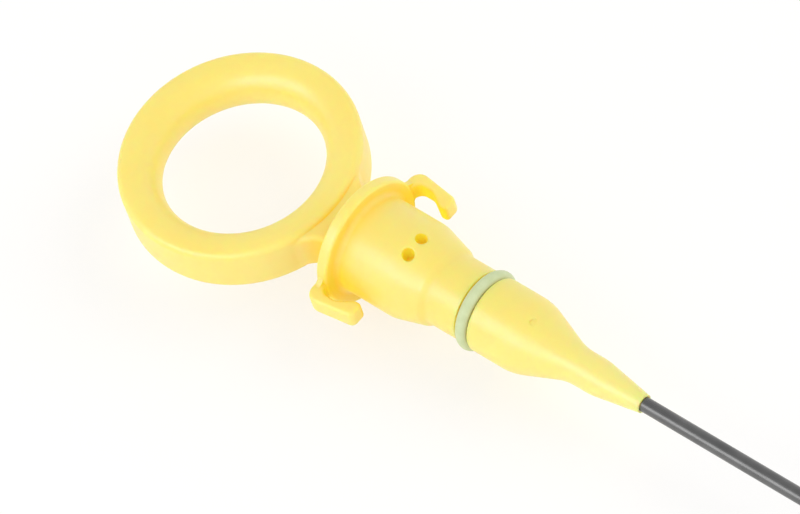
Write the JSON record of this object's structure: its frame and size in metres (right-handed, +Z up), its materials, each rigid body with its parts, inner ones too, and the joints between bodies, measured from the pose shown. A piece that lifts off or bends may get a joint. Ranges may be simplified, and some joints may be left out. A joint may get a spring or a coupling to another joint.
{
  "type": "engine oil dipstick",
  "caption": "Engine oil dipstick with a moulded finger-ring handle, clip claws, a sealed plug body and a long round rod that ends in a flat measuring blade.",
  "frame": {"origin": "on the stick's axis, at the middle of the seal land in front of the seal ring", "axes": "+X along the stick towards the measuring blade, level with the surface it lies on; +Z up, across the plane of the finger ring; +Y to the side, towards one claw. The stick's own axis dips 1.46 degrees below +X, as it lies on its flange and the end of its blade"},
  "size_m": [0.4532, 0.04, 0.0216],
  "materials": {
    "handle_plastic": "satin, slightly translucent moulded plastic",
    "seal_rubber": "matte",
    "rod_steel": "satin, darkened"
  },
  "bodies": {
    "root": {"handle": "handle_plastic", "seal_ring": "seal_rubber", "rod": "rod_steel"}
  },
  "joints": []
}
